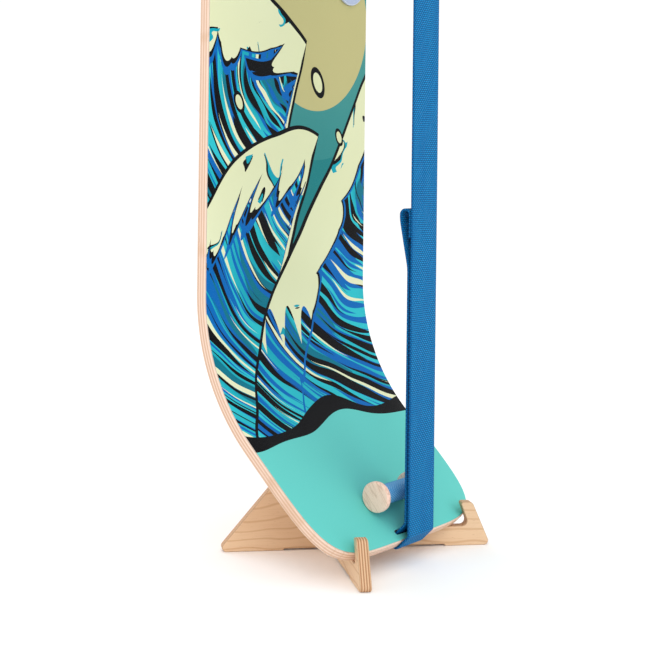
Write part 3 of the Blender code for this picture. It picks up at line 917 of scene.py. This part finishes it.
def strap_half():
    """Centreline (forward, up) from mid-span round the nose to the sewn end."""
    offset = GAP + STRAP_THICKNESS / 2
    corner = EDGE_RADIUS + offset
    corner_forward = -EDGE_RADIUS * (math.sin(BEND_ANGLE) + math.cos(BEND_ANGLE))
    corner_up = EDGE_RADIUS * (math.cos(BEND_ANGLE) - math.sin(BEND_ANGLE))
    standoff_straight = RUN_STANDOFF / math.cos(BEND_ANGLE)
    corner_up += standoff_straight * math.sin(BEND_ANGLE)
    run_forward = corner_forward + corner + RUN_STANDOFF
    returning_forward = run_forward - LAYER_PITCH
    emerge_forward = -SLOT_INSET * math.sin(BEND_ANGLE)
    lift = RIGHT_ANGLE - BEND_ANGLE
    lift_radius = 8 * MM
    lift_straight = returning_forward - emerge_forward - lift_radius * (1 - math.cos(lift))
    lift_straight /= math.cos(BEND_ANGLE)
    back_straight = SLOT_INSET - STRAP_TURN - EDGE_RADIUS
    through_slot = DECK_THICKNESS + offset - STRAP_TURN + lift_straight
    emerge_up = SLOT_INSET * math.cos(BEND_ANGLE) + lift_straight * math.sin(BEND_ANGLE)
    emerge_up += lift_radius * math.sin(lift)
    slope_straight = LOOP_DEPTH - 2 * LOOP_BLEND_RADIUS * (1 - math.cos(LOOP_SLOPE))
    slope_straight /= math.sin(LOOP_SLOPE)
    tail_forward = run_forward - STRAP_THICKNESS - GAP
    fold_radius = (tail_forward - (returning_forward - LOOP_DEPTH)) / 2
    return walk((run_forward, DECK_CHORD / 2), -RIGHT_ANGLE, [
        ("straight", DECK_CHORD / 2 - corner_up),
        ("turn", -lift, corner),
        ("straight", standoff_straight + DECK_THICKNESS - 2 * EDGE_RADIUS),
        ("turn", -RIGHT_ANGLE, corner),
        ("straight", back_straight),
        ("turn", -RIGHT_ANGLE, STRAP_TURN),
        ("straight", through_slot),
        ("turn", lift, lift_radius),
        ("straight", LOOP_START - emerge_up),
        ("turn", LOOP_SLOPE, LOOP_BLEND_RADIUS),
        ("straight", slope_straight),
        ("turn", -LOOP_SLOPE, LOOP_BLEND_RADIUS),
        ("turn", -math.pi, fold_radius),
        ("straight", TAIL_LENGTH),
    ])


def webbing_section():
    """(across, off) points of the webbing's section: flat faces, rounded selvedges."""
    half = STRAP_THICKNESS / 2
    reach = STRAP_WIDTH / 2 - half
    flat = [reach * (2 * step / WEBBING_COLUMNS - 1) for step in range(WEBBING_COLUMNS + 1)]
    turns = [math.pi * step / SELVEDGE_STEPS for step in range(1, SELVEDGE_STEPS)]
    face = [(across, half) for across in flat]
    face += [(reach + half * math.sin(turn), half * math.cos(turn)) for turn in turns]
    return face + [(-across, -off) for across, off in face]


def strap_piece(material):
    """The whole webbing strap as one closed ribbon; returns it and its flat length."""
    half = strap_half()
    points = [Vector((point.x, DECK_CHORD - point.y)) for point in reversed(half)][:-1] + half
    section = webbing_section()
    bm = bmesh.new()
    rings = []
    places = []
    length = 0.0
    for index, point in enumerate(points):
        before = (point - points[index - 1]).normalized() if index else None
        after = (points[index + 1] - point).normalized() if index + 1 < len(points) else None
        length += (point - points[index - 1]).length if index else 0.0
        before = before or after
        after = after or before
        tangent = (before + after).normalized()
        side = Vector((-tangent.y, tangent.x)) / math.cos(before.angle(after) / 2)
        ring = []
        for across, off in section:
            spot = point + side * off
            ring.append(bm.verts.new(BOARD @ Vector((across, -spot.x, spot.y))))
            places.append((across, length, off))
        rings.append(ring)
    count = len(section)
    for first, second in zip(rings, rings[1:]):
        for corner in range(count):
            following = (corner + 1) % count
            bm.faces.new((first[corner], first[following], second[following], second[corner]))
    bm.faces.new(rings[0])
    bm.faces.new(rings[-1])
    piece = finish_mesh("webbing_strap", bm, material, 50)
    store_place(piece, places)
    return piece, length


def turned_piece(name, profile, centre, axis, material):
    """Turn an open (along, radius) profile, whose ends lie on the axis, about an axis."""
    axis = Vector(axis).normalized()
    first = axis.orthogonal().normalized()
    second = axis.cross(first)
    bm = bmesh.new()
    rings = []
    places = []
    for along, radius in profile:
        if radius == 0:
            rings.append([bm.verts.new(centre + axis * along)])
            places.append((radius, along, 0.0))
            continue
        ring = []
        for step in range(TURN_SEGMENTS):
            turn = 2 * math.pi * step / TURN_SEGMENTS
            out = first * math.cos(turn) + second * math.sin(turn)
            ring.append(bm.verts.new(centre + axis * along + out * radius))
            places.append((radius, along, turn))
        rings.append(ring)
    for one, two in zip(rings, rings[1:]):
        for step in range(TURN_SEGMENTS):
            following = (step + 1) % TURN_SEGMENTS
            if len(one) == 1:
                bm.faces.new((one[0], two[step], two[following]))
            elif len(two) == 1:
                bm.faces.new((one[step], two[0], one[following]))
            else:
                bm.faces.new((one[step], two[step], two[following], one[following]))
    piece = finish_mesh(name, bm, material, 40)
    store_place(piece, places)
    return piece


def arc(centre_along, centre_radius, radius, first, last):
    """Profile points on an arc; angles in degrees, 0 outwards, 90 along the axis."""
    turns = [math.radians(first + (last - first) * step / ARC_STEPS)
             for step in range(ARC_STEPS + 1)]
    return [(centre_along + radius * math.sin(turn), centre_radius + radius * math.cos(turn))
            for turn in turns]


def roller_caps(material):
    """Turned end discs with softly rounded rims, each with a blind bore for the dowel."""
    centre = Vector(JOINTS["grip_spin"]["pos_m"])
    for name, side in (("roller_cap_left", -1), ("roller_cap_right", 1)):
        low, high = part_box(name)
        outer = max(abs(low.x - centre.x), abs(high.x - centre.x))
        inner = min(abs(low.x - centre.x), abs(high.x - centre.x))
        radius = (high.z - low.z) / 2
        dowel_low, dowel_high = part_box("roller_dowel")
        bore = (dowel_high.z - dowel_low.z) / 2 + GAP
        floor_of_bore = dowel_high.x - centre.x + GAP
        profile = [(floor_of_bore, 0), (floor_of_bore, bore), (inner, bore)]
        profile.append((inner, radius - CAP_ROUND))
        profile += arc(inner + CAP_ROUND, radius - CAP_ROUND, CAP_ROUND, -90, 0)[1:]
        profile += arc(outer - CAP_ROUND, radius - CAP_ROUND, CAP_ROUND, 0, 90)
        profile += [(outer, radius * CAP_FLAT), (outer, 0)]
        cap = turned_piece(name + "_disc", [(side * along, r) for along, r in profile],
                           centre, (1, 0, 0), material)
        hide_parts(name)
        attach(cap, "roller")


def grip_sleeve(material):
    """The rubber sleeve, with rows of staggered round dimples."""
    centre = Vector(JOINTS["grip_spin"]["pos_m"])
    low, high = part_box("roller_grip")
    reach = (high.x - low.x) / 2
    radius = (high.z - low.z) / 2
    dowel_low, dowel_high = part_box("roller_dowel")
    bore = (dowel_high.z - dowel_low.z) / 2 + GAP
    around = DIMPLES_AROUND * DIMPLE_STEPS
    columns = DIMPLE_ROWS * DIMPLE_STEPS
    bm = bmesh.new()
    places = []

    def ring(x, radii, sinks):
        made = []
        for step in range(around):
            turn = 2 * math.pi * step / around
            r = radii[step]
            made.append(bm.verts.new(centre + Vector((x, r * math.cos(turn), r * math.sin(turn)))))
            places.append((x, turn, sinks[step]))
        return made

    def plain(x, r):
        return ring(x, [r] * around, [0.0] * around)

    eased = radius - GRIP_CHAMFER
    rings = [plain(-reach, bore), plain(-reach, eased), plain(-reach + GRIP_CHAMFER, radius)]
    for column in range(columns + 1):
        x = -reach + GRIP_MARGIN + (2 * reach - 2 * GRIP_MARGIN) * column / columns
        row = column / DIMPLE_STEPS
        stagger = 0.5 * (math.floor(row) % 2)
        offset_x = (row % 1) - 0.5
        sinks = []
        for step in range(around):
            offset_y = ((step / DIMPLE_STEPS + stagger) % 1) - 0.5
            away = math.hypot(offset_x, offset_y) / DIMPLE_REACH
            sinks.append(max(0.0, 1 - away * away))
        rings.append(ring(x, [radius - DIMPLE_DEPTH * sink for sink in sinks], sinks))
    rings += [plain(reach - GRIP_CHAMFER, radius), plain(reach, eased), plain(reach, bore)]
    rings.append(rings[0])
    for one, two in zip(rings, rings[1:]):
        for step in range(around):
            following = (step + 1) % around
            bm.faces.new((one[step], two[step], two[following], one[following]))
    sleeve = finish_mesh("grip_sleeve", bm, material, 60)
    store_place(sleeve, places)
    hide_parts("roller_grip")
    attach(sleeve, "grip")


def round_pads(material):
    """Low crowned discs on the printed face, each on a thin gasket."""
    outward = -(BOARD.to_3x3() @ Vector((0, 1, 0)))
    for name in ("pad_left", "pad_right"):
        low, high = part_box(name)
        radius = (high.x - low.x) / 2
        local = BOARD.inverted() @ ((low + high) / 2)
        local.y = BOW_DEPTH - GAP
        foot = BOARD @ local
        gasket_radius = radius - GASKET_INSET
        profile = [(0, 0), (0, gasket_radius), (GASKET, gasket_radius), (GASKET, radius - PAD_LIP)]
        profile += arc(PAD_THICKNESS - PAD_CROWN - PAD_ROUND, radius - PAD_ROUND, PAD_ROUND, 0, 75)
        flat = radius * PAD_FLAT
        for step in range(CROWN_STEPS):
            share = 1 - step / CROWN_STEPS
            profile.append((PAD_THICKNESS - PAD_CROWN * share ** 2 * 0.9, flat * share))
        profile.append((PAD_THICKNESS, 0))
        pad = turned_piece(name + "_disc", profile, foot, outward, material)
        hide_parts(name)
        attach(pad, "board")


def repaint(node, material):
    """Give a CAD node that stays in view its own material."""
    node.data.materials.clear()
    node.data.materials.append(material)


# ---------------------------------------------------------------- the object

def build_object():
    laminate = bent_layer("deck_laminate_body", SHEET_THICKNESS + GAP, DECK_THICKNESS,
                          0, EDGE_RADIUS, laminate_look())
    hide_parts("deck_core")
    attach(laminate, "board")

    printed = bent_layer("printed_face", 0, SHEET_THICKNESS,
                         SHEET_INSET, SHEET_THICKNESS / 4, print_look())
    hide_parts("deck_top_sheet")
    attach(printed, "board")

    strap, length = strap_piece(webbing_look())
    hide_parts("strap")
    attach(strap, "board")

    pile = hook_loop_look()
    for name in ("strap_fastener_nose", "strap_fastener_tail"):
        repaint(frame["nodes"][name], pile)

    birch = roller_wood_look()
    repaint(frame["nodes"]["roller_dowel"], birch)
    roller_caps(birch)
    grip_sleeve(grip_look())
    round_pads(pad_look())
    for name in ("stand_plate_lower", "stand_plate_upper"):
        repaint(frame["nodes"][name], plywood_look(name))


# ---------------------------------------------------------------- stage, light and camera

def plain_floor():
    bm = bmesh.new()
    bmesh.ops.create_grid(bm, x_segments=8, y_segments=8, size=FLOOR_REACH)
    material, _, shader = new_material("floor")
    shader.inputs["Base Color"].default_value = WHITE
    shader.inputs["Roughness"].default_value = 0.9
    shader.inputs["Specular IOR Level"].default_value = 0.0
    floor = finish_mesh("floor", bm, material)


def soft_light():
    world = bpy.data.worlds.new("studio")
    bpy.context.scene.world = world
    world.use_nodes = True
    background = world.node_tree.nodes["Background"]
    background.inputs["Color"].default_value = WHITE
    background.inputs["Strength"].default_value = WORLD_STRENGTH
    for name, place, size, power in LAMPS:
        lamp = bpy.data.lights.new(name, "AREA")
        lamp.size = size
        lamp.energy = power
        holder = bpy.data.objects.new(name, lamp)
        holder.location = place
        aim = Vector(LAMP_AIM) - Vector(place)
        holder.rotation_euler = aim.to_track_quat("-Z", "Y").to_euler()
        bpy.context.scene.collection.objects.link(holder)


def add_camera():
    camera = bpy.data.cameras.new("camera")
    camera.sensor_width = 36
    camera.lens = CAMERA_LENS
    camera.shift_x, camera.shift_y = CAMERA_SHIFT
    holder = bpy.data.objects.new("camera", camera)
    forward = Vector(CAMERA_FORWARD).normalized()
    up = Vector(CAMERA_RIGHT).cross(forward).normalized()
    right = forward.cross(up)
    turn = Matrix((right, up, -forward)).transposed().to_4x4()
    holder.matrix_world = Matrix.Translation(CAMERA_PLACE) @ turn
    bpy.context.scene.collection.objects.link(holder)
    bpy.context.scene.camera = holder


build_object()
plain_floor()
soft_light()
add_camera()
bpy.context.scene.view_settings.view_transform = "Standard"
